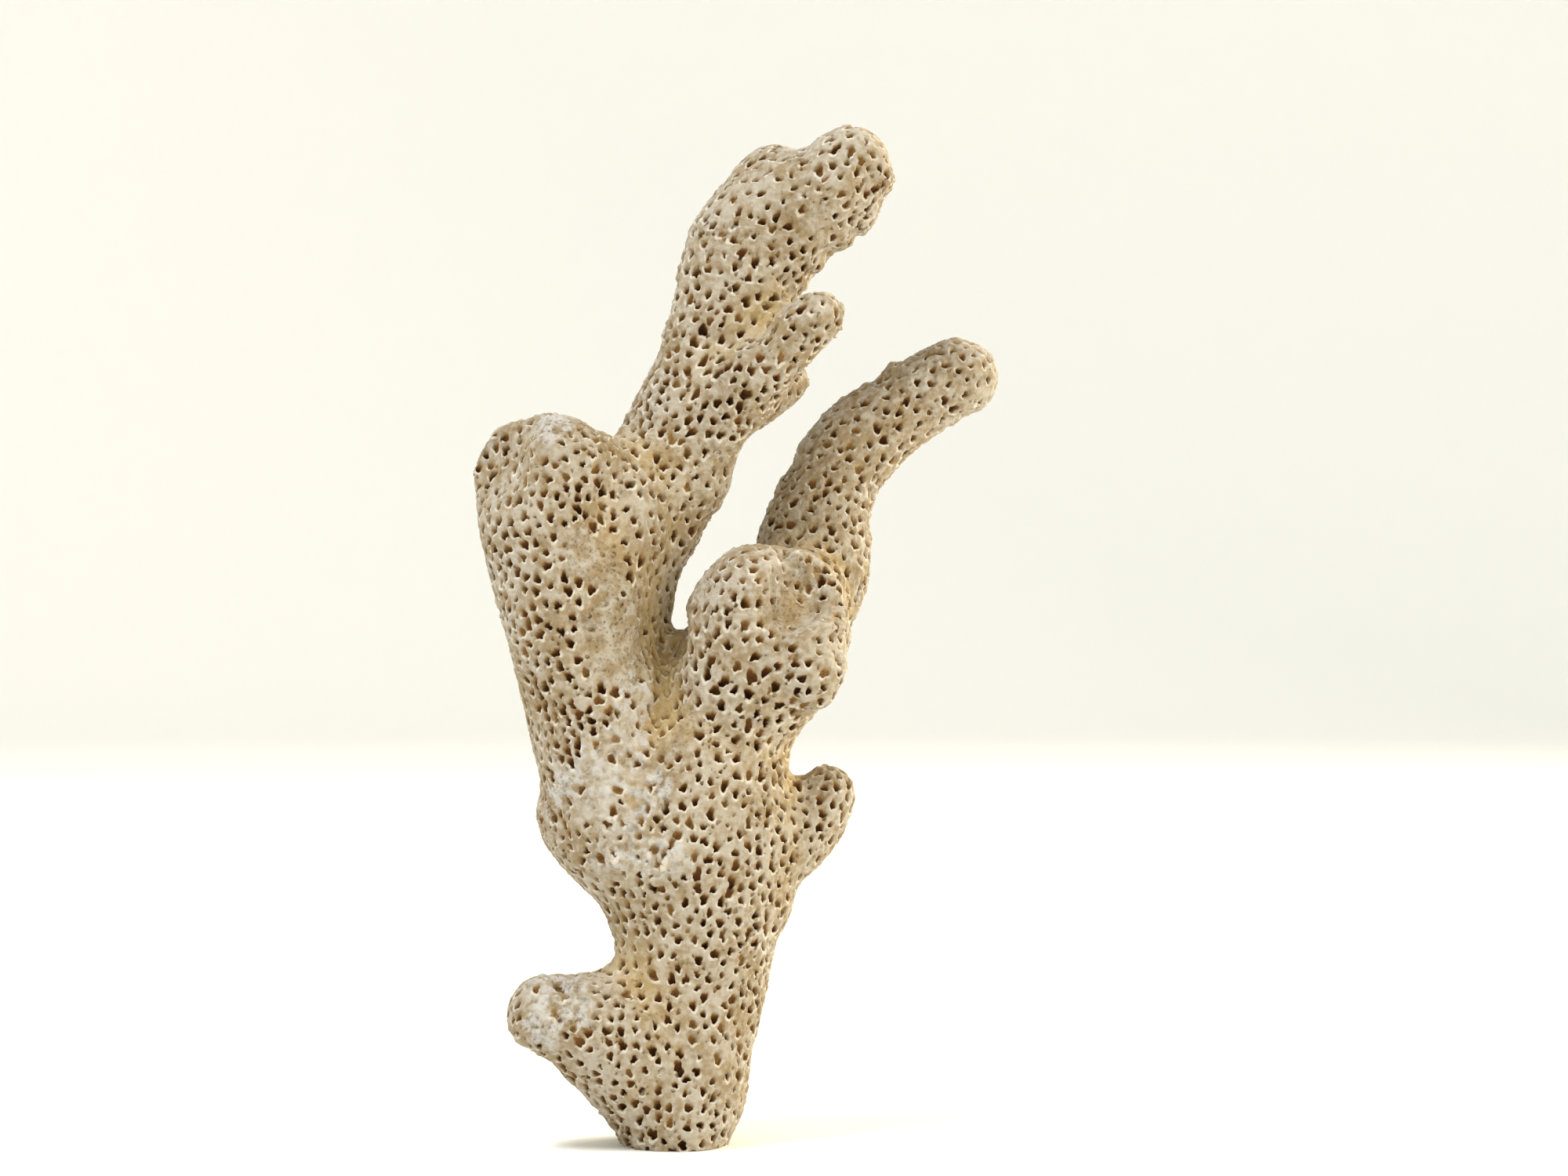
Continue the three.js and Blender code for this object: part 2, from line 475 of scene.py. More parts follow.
    def label(self, skin: bmesh.types.BMesh) -> None:
        """Gives each face to the branch it belongs to, in bands where a branch is large.

        Args:
            skin: the quad skin.
        """
        names = sorted(self.trees)
        owner = {}
        for face in skin.faces:
            centre = face.calc_center_median()
            gaps = [self.trees[name].find_nearest(centre)[3] for name in names]
            owner[face] = gaps.index(min(gaps))
        for _ in range(self.voting_rounds):
            owner = {face: self.vote(face, owner) for face in skin.faces}
        for number, name in enumerate(names):
            faces = sorted((f for f in skin.faces if owner[f] == number), key=height_of)
            bands = math.ceil(len(faces) / self.faces_per_piece)
            for band in range(bands):
                title = name if bands == 1 else f"{name}_{band + 1}"
                share = faces[band * len(faces) // bands : (band + 1) * len(faces) // bands]
                for face in share:
                    face.material_index = len(self.labels)
                self.labels.append((title, name))

    def vote(self, face: bmesh.types.BMFace, owner: dict[bmesh.types.BMFace, int]) -> int:
        """Asks a face's neighbours which branch it belongs to.

        Args:
            face: the face.
            owner: the branch that each face has now.

        Returns:
            The branch that most of them have, the face's own counted a little more.
        """
        count = Counter({owner[face]: self.own_vote})
        for vert in face.verts:
            for near in vert.link_faces:
                count[owner[near]] += 1
        return count.most_common(1)[0][0]

    def build(self) -> bpy.types.Object:
        """Makes the fine, still smooth skin of the whole coral.

        Returns:
            The skin's object, with its faces labelled by branch.
        """
        skin = self.skinned(self.joined())
        self.soften(skin)
        self.mark_growth(skin)
        self.mark_hollows(skin)
        self.label(skin)
        mesh = bpy.data.meshes.new("coral_skin")
        skin.to_mesh(mesh)
        skin.free()
        for title, _ in self.labels:
            mesh.materials.append(bpy.data.materials.new(title))
        holder = bpy.data.objects.new("coral_skin", mesh)
        bpy.context.scene.collection.objects.link(holder)
        finer = holder.modifiers.new("finer", "SUBSURF")
        finer.levels = self.levels
        finer.render_levels = self.levels
        graph = bpy.context.evaluated_depsgraph_get()
        fine = bpy.data.meshes.new_from_object(holder.evaluated_get(graph))
        holder.modifiers.clear()
        holder.data = fine
        fine.shade_smooth()
        LOG.info("skin: %d faces, made %d finer ones", len(mesh.polygons), len(fine.polygons))
        return holder


def height_of(face: bmesh.types.BMFace) -> float:
    """Height of a face's middle."""
    return face.calc_center_median().z


def find_islands(mesh: bmesh.types.BMesh) -> list[list[bmesh.types.BMVert]]:
    """The separate shells of a mesh.

    Args:
        mesh: the mesh to look through.

    Returns:
        The vertices of each shell, the largest shell first.
    """
    unseen = set(mesh.verts)
    islands = []
    while unseen:
        edge_of_search = [unseen.pop()]
        island = []
        while edge_of_search:
            vert = edge_of_search.pop()
            island.append(vert)
            for edge in vert.link_edges:
                other = edge.other_vert(vert)
                if other in unseen:
                    unseen.discard(other)
                    edge_of_search.append(other)
        islands.append(island)
    return sorted(islands, key=len, reverse=True)


def spread_values(values: np.ndarray, ends: np.ndarray, rounds: int) -> np.ndarray:
    """Evens out values over a mesh by averaging along its edges.

    Args:
        values: one number or row for each vertex.
        ends: the two vertices of each edge.
        rounds: how many times to average.

    Returns:
        The evened values.
    """
    count = np.bincount(ends.ravel(), minlength=len(values)).astype(float)
    shape = (-1,) + (1,) * (values.ndim - 1)
    for _ in range(rounds):
        total = np.zeros_like(values)
        np.add.at(total, ends[:, 0], values[ends[:, 1]])
        np.add.at(total, ends[:, 1], values[ends[:, 0]])
        values = 0.5 * values + 0.5 * total / count.reshape(shape)
    return values


# ---------------------------------------------------------------- the skin and its relief


@dataclass
class Skin:
    """The fine skin's points and what is known about each, in millimetres."""

    mesh: bpy.types.Mesh
    points: np.ndarray = field(init=False)
    normals: np.ndarray = field(init=False)
    growth: np.ndarray = field(init=False)
    marks: dict[Mark, np.ndarray] = field(default_factory=dict)

    def __post_init__(self) -> None:
        """Reads the mesh."""
        self.points = self.read("vertices", "co", 3) / MM
        self.normals = self.read("vertex_normals", "vector", 3)
        growth = np.empty(len(self.points) * 3, dtype=np.float32)
        self.mesh.attributes["growth"].data.foreach_get("vector", growth)
        self.growth = growth.reshape(-1, 3).astype(float)
        hollow = np.empty(len(self.points), dtype=np.float32)
        self.mesh.attributes[Mark.HOLLOW.value].data.foreach_get("value", hollow)
        self.marks[Mark.HOLLOW] = hollow.astype(float)
        for mark in (Mark.PORE, Mark.WORN, Mark.CRUST):
            self.marks[mark] = np.zeros(len(self.points))

    def read(self, collection: str, name: str, width: int) -> np.ndarray:
        """Reads a property of every element of one of the mesh's collections.

        Args:
            collection: the collection's name.
            name: the property's name.
            width: how many numbers each element has.

        Returns:
            One row for each element.
        """
        items = getattr(self.mesh, collection)
        values = np.empty(len(items) * width, dtype=np.float32)
        items.foreach_get(name, values)
        return values.reshape(-1, width).astype(float)

    def write(self) -> None:
        """Puts the points and marks back in the mesh, and reads the new normals."""
        self.mesh.vertices.foreach_set("co", (self.points * MM).astype(np.float32).ravel())
        for mark, values in self.marks.items():
            layer = self.mesh.attributes.get(mark.value)
            if layer is None:
                layer = self.mesh.attributes.new(mark.value, "FLOAT", "POINT")
            layer.data.foreach_set("value", values.astype(np.float32))
        self.mesh.update()
        self.normals = self.read("vertex_normals", "vector", 3)

    def push(self, heights: np.ndarray) -> None:
        """Moves every point along its normal by its own height."""
        self.points += self.normals * heights[:, None]


@dataclass
class Relief:
    """The coral's form between the branches and the pores: lumps, dishes, crusts and worn faces."""

    seed: int = 11
    lump: float = 0.32
    lump_period: float = 7.0
    dimple: float = 0.13
    dimple_period: float = 3.1
    ragged: float = 0.45
    ragged_period: float = 3.0
    patch_edge: tuple[float, float] = (0.12, 0.62)
    ridge: float = 0.14
    ridge_period: float = 1.7
    flake: float = 0.09
    flake_period: float = 0.8
    sharpness: float = 2.2
    crotch: tuple[float, float] = (0.3, 1.0)
    calmed: float = 0.85
    facets: tuple[Facet, ...] = (
        Facet("left_stem", (0.10, 0.38, 0.90), (-0.30, -0.94, 0.15), 10.0, 1.0),
        Facet("left_stem", (0.76, 0.07, 0.40), (0.25, -0.97, 0.03), 12.0, 0.9),
    )
    swells: tuple[Patch, ...] = (
        Patch("crown", (0.94, 0.4, 0.74), (2.6, 5.0, 2.6), -0.5),
        Patch("crown", (0.84, 0.4, 0.58), (1.0, 5.0, 1.0), -0.6),
        Patch("crown", (0.73, 0.4, 0.51), (2.2, 5.0, 1.6), -0.5),
        Patch("crown", (0.66, 0.4, 0.42), (1.4, 5.0, 1.4), -0.5),
        Patch("crown", (0.60, 0.4, 0.95), (2.4, 7.0, 2.6), -0.4),
        Patch("crown", (0.99, 0.4, 0.86), (1.6, 5.0, 3.0), -0.4),
        Patch("middle_stub", (0.70, 0.1, 0.75), (4.8, 8.0, 4.2), -1.2),
        Patch("middle_stub", (0.58, 0.1, 0.64), (3.2, 7.0, 2.8), -0.8),
        Patch("middle_stub", (0.95, 0.4, 0.30), (2.6, 6.0, 3.2), -1.3),
        Patch("middle_stub", (0.05, 0.5, 0.56), (2.4, 7.0, 4.4), -1.4),
        Patch("front_finger", (0.63, 0.5, 1.02), (1.9, 5.0, 1.9), -0.9),
        Patch("front_finger", (0.55, 0.5, 0.20), (2.6, 5.0, 1.6), -0.4),
        Patch("side_nub", (0.33, 0.5, 0.97), (2.0, 5.0, 1.8), -0.7),
        Patch("lower_stub", (0.15, 0.4, 0.42), (4.0, 7.0, 4.0), -0.5),
        Patch("trunk", (0.00, 0.5, 0.72), (2.6, 7.0, 4.0), 0.5),
        Patch("trunk", (0.98, 0.5, 0.52), (2.5, 6.0, 4.0), 0.5),
        Patch("lower_stub", (0.16, 0.4, 0.80), (2.8, 5.0, 2.6), 0.4),
        Patch("back_finger", (0.59, 0.5, 0.93), (1.5, 3.5, 1.5), 0.6),
        Patch("back_finger", (0.53, 0.5, 0.89), (1.2, 3.5, 1.2), -0.5),
        Patch("back_finger", (0.97, 0.5, 0.93), (4.0, 5.0, 4.0), 0.4),
        Patch("back_finger", (0.91, 0.5, 0.78), (2.5, 5.0, 1.8), -0.4),
        Patch("back_finger", (0.20, 0.5, 0.66), (1.6, 5.0, 5.0), -0.5),
        Patch("upper_branch", (0.74, 0.5, 0.55), (1.6, 6.0, 5.0), -0.4),
        Patch("left_stem", (0.50, 0.1, 1.0), (4.0, 5.0, 1.6), -0.5),
        Patch("left_stem", (0.06, 0.4, 0.90), (2.5, 6.0, 3.2), -0.5),
        Patch("left_stem", (0.66, 0.4, 0.96), (3.0, 6.0, 2.0), -0.5),
        Patch("left_stem", (0.15, 0.4, 0.42), (2.0, 6.0, 12.0), -0.25),
    )
    strokes: tuple[Stroke, ...] = (
        Stroke("left_stem", ((0.33, 0.97), (0.29, 0.90), (0.27, 0.83), (0.24, 0.66)), 1.0, -0.7, (1.0, 0.0)),
        Stroke("left_stem", ((0.34, 0.90), (0.42, 0.915), (0.52, 0.91), (0.64, 0.88)), 0.7, 0.4),
        Stroke("left_stem", ((0.90, 0.60), (0.92, 0.49), (0.93, 0.36), (0.94, 0.25)), 0.8, 0.7, (0.3, 1.0)),
        Stroke("middle_stub", ((0.70, 0.95), (0.82, 0.92), (0.90, 0.83), (0.95, 0.68)), 0.8, 0.8, depth=0.9),
        Stroke("middle_stub", ((0.65, 0.99), (0.66, 0.93), (0.73, 0.87)), 0.7, -1.0, (1.0, 0.5), depth=0.9),
        Stroke(
            "middle_stub", ((0.60, 0.44), (0.70, 0.53), (0.79, 0.58), (0.90, 0.61)), 0.85, 1.5, (0.4, 0.8)
        ),
        Stroke(
            "middle_stub", ((0.63, 0.52), (0.72, 0.63), (0.82, 0.70), (0.92, 0.72)), 1.0, -1.1, (0.5, 1.0)
        ),
        Stroke("crown", ((0.61, 0.94), (0.61, 0.84), (0.58, 0.74)), 1.3, -0.5, (1.0, 0.2)),
        Stroke("crown", ((0.58, 0.67), (0.68, 0.74), (0.80, 0.79)), 0.9, 0.6, (0.4, 1.0)),
        Stroke("crown", ((0.60, 0.78), (0.70, 0.83), (0.80, 0.88)), 1.1, -0.7, (0.5, 1.0)),
        Stroke("crown", ((0.90, 0.82), (0.88, 0.72), (0.82, 0.62)), 1.0, -0.5, (1.0, 0.4)),
        Stroke("lower_stub", ((0.36, 1.00), (0.31, 0.88), (0.27, 0.66)), 1.0, -0.8, (1.0, 0.0)),
        Stroke("trunk", ((0.455, 0.99), (0.465, 0.89), (0.48, 0.78), (0.475, 0.67)), 0.6, -0.35),
        Stroke("trunk", ((0.27, 0.99), (0.31, 0.93), (0.37, 0.89), (0.45, 0.87)), 0.4, 0.4),
        Stroke(
            "trunk",
            ((0.13, 0.74), (0.22, 0.69), (0.33, 0.65), (0.42, 0.62), (0.49, 0.66), (0.61, 0.70)),
            0.7,
            0.35,
        ),
        Stroke("upper_branch", ((0.72, 1.04), (0.85, 1.03), (1.05, 1.06)), 1.2, -0.8, depth=0.5),
    )
    worn: tuple[Patch, ...] = (
        Patch("left_stem", (0.80, 0.05, 0.42), (4.6, 9.0, 9.0), 1.4),
        Patch("left_stem", (0.64, 0.05, 0.60), (4.2, 8.0, 4.4), 0.9),
        Patch("left_stem", (0.48, 0.15, 0.97), (5.0, 6.0, 3.4), 0.45),
        Patch("trunk", (0.12, 0.15, 0.78), (5.0, 8.0, 6.0), 0.35),
        Patch("trunk", (0.52, 0.02, 0.90), (2.6, 7.0, 7.0), 0.7),
        Patch("crown", (0.30, 0.10, 0.05), (3.2, 4.0, 3.0), 0.5),
        Patch("crown", (0.66, 0.10, 0.66), (3.6, 5.0, 2.4), 0.35),
        Patch("lower_stub", (0.25, 0.20, 0.80), (7.0, 7.0, 5.0), 0.3),
        Patch("middle_stub", (0.80, 0.10, 0.88), (4.0, 6.0, 3.2), 0.6),
        Patch("middle_stub", (0.68, 0.05, 0.70), (4.0, 7.0, 4.5), 0.4),
        Patch("upper_branch", (0.45, 0.20, 0.72), (4.0, 6.0, 5.0), 0.5),
    )
    crust: tuple[Patch, ...] = (
        Patch("trunk", (0.33, 0.02, 0.84), (6.5, 7.0, 8.0)),
        Patch("trunk", (0.40, 0.00, 0.66), (8.0, 7.0, 3.2), 0.9),
        Patch("trunk", (0.36, 0.05, 1.00), (3.6, 7.0, 4.5)),
        Patch("trunk", (0.14, 0.10, 0.80), (5.0, 7.0, 6.0), 0.6),
        Patch("left_stem", (0.42, 0.10, 0.97), (5.5, 6.0, 3.6), 0.7),
        Patch("lower_stub", (0.28, 0.15, 0.80), (6.5, 7.0, 5.0), 0.7),
    )

    def apply(self, skin: Skin) -> None:
        """Shapes the skin and marks where it is worn or crusted.

        Args:
            skin: the fine skin.
        """
        noise = LatticeNoise(self.seed)
        for facet in self.facets:
            facet.press(skin)
        skin.write()
        points = skin.points.copy()
        height = self.lump * noise.at(points, self.lump_period, 1.0)
        height += self.dimple * noise.at(points, self.dimple_period, 2.0)
        for stroke in self.strokes:
            height += stroke.heights(skin)
        ragged = self.ragged * noise.layered(points, self.ragged_period, 2)
        for mark, patches in ((Mark.WORN, self.worn), (Mark.CRUST, self.crust)):
            felt = np.max([patch.strength(points) for patch in patches], axis=0)
            skin.marks[mark] = ease(*self.patch_edge, felt + ragged * (felt > 0.0))
        ridges = noise.ridged(points, self.ridge_period, 3.0, self.sharpness)
        flakes = noise.ridged(points, self.flake_period, 4.0, self.sharpness)
        height += skin.marks[Mark.CRUST] * (self.ridge * ridges + self.flake * flakes)
        height *= 1.0 - self.calmed * ease(*self.crotch, skin.marks[Mark.HOLLOW])
        for swell in self.swells:
            height += swell.strength(points)
        skin.push(height)
        skin.write()


@dataclass
class Tooth:
    """The crumbly, chalky tooth between the pores, rougher in some places than in others."""

    seed: int = 23
    coarse: float = 0.8
    coarse_period: float = 0.62
    fine: float = 0.9
    fine_period: float = 0.34
    rough: float = 0.105
    crumb: float = 0.145
    crumb_period: float = 0.95
    sharpness: float = 2.4
    region_period: float = 4.5
    region_edge: tuple[float, float] = (-0.3, 0.5)
    everywhere: float = 0.6
    in_regions: float = 0.5
    where_worn: float = 0.6
    where_crusted: float = 0.7
    crotch: tuple[float, float] = (0.4, 1.2)
    calmed: float = 0.5

    def apply(self, skin: Skin) -> None:
        """Roughens the skin.

        Args:
            skin: the fine skin, with its pores.
        """
        noise = LatticeNoise(self.seed)
        crumbs = noise.ridged(skin.points, self.crumb_period, 3.0, self.sharpness)
        tooth = self.coarse * noise.at(skin.points, self.coarse_period, 1.0)
        tooth += self.fine * noise.at(skin.points, self.fine_period, 2.0)
        rougher = ease(*self.region_edge, noise.at(skin.points, self.region_period, 5.0))
        strength = self.everywhere + self.in_regions * rougher
        strength += self.where_worn * skin.marks[Mark.WORN]
        strength += self.where_crusted * skin.marks[Mark.CRUST]
        calm = 1.0 - self.calmed * ease(*self.crotch, skin.marks[Mark.HOLLOW])
        skin.push((self.rough * tooth + self.crumb * crumbs * rougher) * strength * calm)
        skin.write()


# ---------------------------------------------------------------- the pores


@dataclass(frozen=True)
class PoreKind:
    """The sizes of one kind of pore, in millimetres and degrees, and how likely it is on each skin."""

    spacing: float
    radius: tuple[float, float]
    depth: tuple[float, float]
    stretch: tuple[float, float]
    slant: float
    lip: float
    funnel: float
    floor: float
    chance: float
    on_crust: float
    on_worn: float
    seed: int

    def wanted(self, skin: Skin) -> np.ndarray:
        """Chance that each point of a skin may hold a pore of this kind."""
        return self.chance + self.on_crust * skin.marks[Mark.CRUST] + self.on_worn * skin.marks[Mark.WORN]


CALICES = PoreKind(
    spacing=1.26,
    radius=(0.23, 0.53),
    depth=(0.35, 1.2),
    stretch=(1.0, 1.8),
    slant=35.0,
    lip=0.08,
    funnel=0.15,
    floor=0.42,
    chance=1.0,
    on_crust=-0.55,
    on_worn=-0.85,
    seed=5,
)
PINHOLES = PoreKind(
    spacing=0.70,
    radius=(0.12, 0.27),
    depth=(0.08, 0.36),
    stretch=(1.0, 1.9),
    slant=25.0,
    lip=0.0,
    funnel=0.0,
    floor=0.3,
    chance=0.42,
    on_crust=0.0,
    on_worn=0.5,
    seed=9,
)


PINHOLE_CLEARANCE = (0.02, 0.2)


@dataclass(frozen=True)
class Pore:
    """One pore, with the sizes that chance gave it."""

    radius: float
    stretch: float
    depth: float
    slant: float
    sway: np.ndarray
    waves: np.ndarray
    lobes: tuple[tuple[int, float], ...] = ((2, 0.15), (3, 0.13), (5, 0.09))

    def outline(self, angle: np.ndarray) -> np.ndarray:
        """How far the uneven edge lies from the pore's middle.

        Args:
            angle: directions round the pore, in radians.

        Returns:
            A distance in millimetres for each direction.
        """
        shape = np.ones(len(angle))
        for (count, share), wave in zip(self.lobes, self.waves):
            shape += share * np.cos(count * angle + wave)
        return self.radius * shape


@dataclass
class Pores:
    """The slanting tubes that the polyps sat in, sunk into the skin, with painted shade down each and a
    painted highlight on its lip.
    """

    kind: PoreKind
    coarser: tuple[Patch, ...] = (
        Patch("middle_stub", (0.40, 0.00, 0.45), (8.0, 8.0, 10.0), 0.22),
        Patch("upper_branch", (0.30, 0.15, 0.52), (5.0, 6.0, 5.0), 0.22),
        Patch("crown", (0.30, 0.20, 0.35), (8.0, 9.0, 12.0), 0.12),
        Patch("left_stem", (0.50, 0.10, 1.00), (12.0, 12.0, 6.0), -0.22),
        Patch("lower_stub", (0.05, 0.30, 0.60), (6.0, 9.0, 7.0), -0.30),
        Patch("back_finger", (0.95, 0.50, 0.92), (6.0, 8.0, 6.0), -0.15),
    )
    size_swing: float = 0.12
    size_period: float = 6.0
    spacing_fixed: float = 0.55
    spacing_follows: float = 0.45
    spacing_swing: float = 0.22
    spacing_period: float = 8.0
    tried_share: float = 0.8
    tried_pitch: float = 0.42
    least_chance: float = 0.01
    radius_odds: tuple[float, float] = (2.0, 1.8)
    stretch_odds: tuple[float, float] = (1.2, 2.6)
    slant_swing: float = 6.0
    sway: float = 0.2
    filled_by_wear: float = 0.45
    filled_in_crotch: float = 0.6
    crotch: tuple[float, float] = (0.3, 1.0)
    same_side: float = 0.15
    shaft_share: float = 0.8
    wall_share: float = 0.2
    lip_place: float = 1.2
    lip_width: float = 0.3
    lip_loss_above: float = 0.8
    dip_edge: tuple[float, float] = (1.95, 0.9)
    dip_below: float = 0.3
    dip_above: float = 0.9
    # Painted shade down each pore: more on its lower side and towards its floor, a little on the funnel's
    # upper slope.
    low_side: tuple[float, float] = (0.75, -0.65)
    shade_above: float = 0.42
    shade_below: float = 0.58
    dark_depth: float = 0.8
    dip_shade: float = 0.8
    least_shade: float = 0.02
    # How strongly a pore's lip gets the painted highlight.
    lip_highlight_strength: float = 5.0

    def centres(self, skin: Skin, wanted: np.ndarray, spacing: np.ndarray) -> np.ndarray:
        """Picks well-spread places for the pores.

        Args:
            skin: the fine skin.
            wanted: chance from 0 to 1 that a point may hold a pore.
            spacing: least distance between pores at each point.

        Returns:
            The indices of the chosen points.
        """
        draw = np.random.default_rng(self.kind.seed)
        share = min(1.0, self.tried_share * (self.tried_pitch / self.kind.spacing) ** 2)
        allowed = (wanted > self.least_chance) * share
        tried = np.flatnonzero(draw.random(len(skin.points)) < allowed)
        draw.shuffle(tried)
        tree = KDTree(len(tried))
        places = skin.points[tried].tolist()
        for number, place in enumerate(places):
            tree.insert(place, number)
        tree.balance()
        blocked = bytearray(len(tried))
        chosen = []
        for number, place in enumerate(places):
            if blocked[number]:
                continue
            chosen.append(number)
            for _, near, _ in tree.find_range(place, spacing[tried[number]]):
                blocked[near] = 1
        found = tried[chosen]
        return found[draw.random(len(found)) < wanted[found]]

    def sink(self, skin: Skin, wanted: np.ndarray, tree: KDTree) -> int:
        """Sinks the pores into the skin.

        Args:
            skin: the fine skin.
            wanted: chance from 0 to 1 that a point may hold a pore.
            tree: the skin's points, for finding those near a pore.

        Returns:
            How many pores were made.
        """
        kind = self.kind
        noise = LatticeNoise(kind.seed + 30)
        size = 1.0 + self.size_swing * noise.at(skin.points, self.size_period)
        for patch in self.coarser:
            size += patch.strength(skin.points)
        spacing = kind.spacing * (self.spacing_fixed + self.spacing_follows * size)
        spacing *= 1.0 + self.spacing_swing * noise.at(skin.points, self.spacing_period, 1.0)
        centres = self.centres(skin, wanted, spacing)
        draw = np.random.default_rng(kind.seed + 1)
        moved = np.zeros_like(skin.points)
        for centre in centres:
            pore = self.draw_pore(skin, int(centre), float(size[centre]), draw)
            self.sink_one(skin, int(centre), pore, tree, moved)
        skin.points += moved
        return len(centres)

    def draw_pore(self, skin: Skin, centre: int, size: float, draw: np.random.Generator) -> Pore:
        """Draws one pore's sizes.

        Args:
            skin: the fine skin.
            centre: index of the point at the pore's middle.
            size: how large the pore is against the usual one.
            draw: the source of chance.

        Returns:
            The pore, shallower where the skin is worn or crusted or lies deep in a fork.
        """
        kind = self.kind
        smallest, largest = kind.radius
        radius = (smallest + (largest - smallest) * draw.beta(*self.radius_odds)) * size
        roundest, longest = kind.stretch
        stretch = roundest + (longest - roundest) * draw.beta(*self.stretch_odds)
        depth = draw.uniform(*kind.depth) * size
        waves = draw.uniform(0.0, math.tau, 3)
        spread = draw.normal(0.0, 1.0, 4)
        wear = max(skin.marks[Mark.WORN][centre], skin.marks[Mark.CRUST][centre])
        depth *= 1.0 - self.filled_by_wear * wear
        depth *= 1.0 - self.filled_in_crotch * float(ease(*self.crotch, skin.marks[Mark.HOLLOW][centre]))
        slant = math.radians(kind.slant + self.slant_swing * spread[3])
        return Pore(radius, stretch, depth, slant, self.sway * spread[:3], waves)

    def sink_one(self, skin: Skin, centre: int, pore: Pore, tree: KDTree, moved: np.ndarray) -> None:
        """Works out how one pore moves the points round it, and the painted shade and painted lip highlight
        it gives them.

        Args:
            skin: the fine skin.
            centre: index of the point at the pore's middle.
            pore: the pore.
            tree: the skin's points.
            moved: the moves so far, which this adds to.
        """
        kind = self.kind
        near = tree.find_range(skin.points[centre], pore.radius * pore.stretch * 2.0)
        index = np.array([found[1] for found in near], dtype=np.int64)
        normal = skin.normals[centre]
        index = index[skin.normals[index] @ normal > self.same_side]
        growth = skin.growth[centre] + pore.sway
        growth = unit(growth - normal * (growth @ normal))
        offset = skin.points[index] - skin.points[centre]
        along = offset @ growth / pore.stretch
        across = offset @ np.cross(normal, growth)
        angle = np.arctan2(across, along)
        reach = np.hypot(along, across) / pore.outline(angle)
        gathered = np.where(
            reach < kind.floor,
            reach * self.shaft_share / kind.floor,
            self.shaft_share + self.wall_share * (reach - kind.floor) / (1.0 - kind.floor),
        )
        scale = np.where(reach < 1.0, gathered / np.maximum(reach, 1e-6) - 1.0, 0.0)
        flat = offset - np.outer(offset @ normal, normal)
        shaft = ease(1.0, kind.floor, reach)
        inward = -normal * math.cos(pore.slant) - growth * math.sin(pore.slant)
        upper = 0.5 + 0.5 * np.cos(angle)
        crest = np.exp(-(((reach - self.lip_place) / self.lip_width) ** 2))
        lip = kind.lip * (1.0 - self.lip_loss_above * upper) * crest
        dip = kind.funnel * (self.dip_below + self.dip_above * upper) * ease(*self.dip_edge, reach)
        moved[index] += (
            flat * scale[:, None] + np.outer(shaft * pore.depth, inward) + np.outer(lip - dip, normal)
        )
        # Painted shade: more down the shaft and on the pore's lower side, a little on the funnel's upper
        # slope.
        below = ease(*self.low_side, along / pore.radius)
        shade = shaft * (self.shade_above + self.shade_below * below) * min(1.0, pore.depth / self.dark_depth)
        shade += self.dip_shade * dip * upper
        # Points that no pore shades keep a painted highlight on the raised lip, stored below zero.
        before = skin.marks[Mark.PORE][index]
        painted_lip_light = np.where(before > self.least_shade, before, np.minimum(before, -self.lip_highlight_strength * lip))
        darker = np.maximum(before, shade)
        skin.marks[Mark.PORE][index] = np.where(shade > self.least_shade, darker, painted_lip_light)


def search_tree(points: np.ndarray) -> KDTree:
    """Sorts points for finding those near a place.

    Args:
        points: places, in millimetres.

    Returns:
        The tree, which answers with the points' own numbers.
    """
    tree = KDTree(len(points))
    for number, place in enumerate(points.tolist()):
        tree.insert(place, number)
    tree.balance()
    return tree


# ---------------------------------------------------------------- finishes


